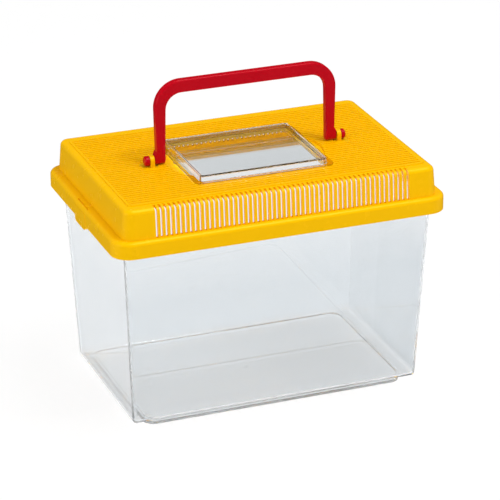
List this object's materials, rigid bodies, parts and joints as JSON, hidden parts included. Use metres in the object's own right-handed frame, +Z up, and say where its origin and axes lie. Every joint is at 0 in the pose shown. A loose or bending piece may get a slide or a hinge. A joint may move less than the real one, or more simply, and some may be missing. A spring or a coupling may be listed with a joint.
{
  "type": "plastic pet keeper",
  "caption": "Clear tapered tank with a vented clip-on lid, a clear lift-out feeding cover and a folding carry handle, for keeping or carrying small animals.",
  "frame": {"origin": "middle of the foot panel that the tank stands on, at the level of the table", "axes": "+X along the length, to the right seen from the vented front; +Y to the back; +Z up"},
  "size_m": [0.233, 0.152, 0.218],
  "materials": {
    "clear_tank": "clear crystal plastic, moulded, smooth",
    "yellow_lid": "yellow moulded plastic, fine satin grain",
    "clear_cover": "clear crystal plastic, moulded, smooth",
    "red_handle": "red moulded plastic, satin"
  },
  "bodies": {
    "tank": {"tank": "clear_tank"},
    "lid": {"lid": "yellow_lid"},
    "feeding_cover": {"feeding_cover": "clear_cover"},
    "handle": {"handle": "red_handle"}
  },
  "joints": [
    {"name": "lid_lift", "type": "slide", "parent": "tank", "child": "lid", "axis": [0, 0, 1], "range_m": [0, 0.06]},
    {"name": "cover_lift", "type": "slide", "parent": "lid", "child": "feeding_cover", "axis": [0, 0, 1], "range_m": [0, 0.04]},
    {"name": "handle_swing", "type": "hinge", "parent": "lid", "child": "handle", "pos_m": [0.0006, 0, 0.1638], "axis": [1, 0, 0], "range_deg": [-90, 90]}
  ]
}
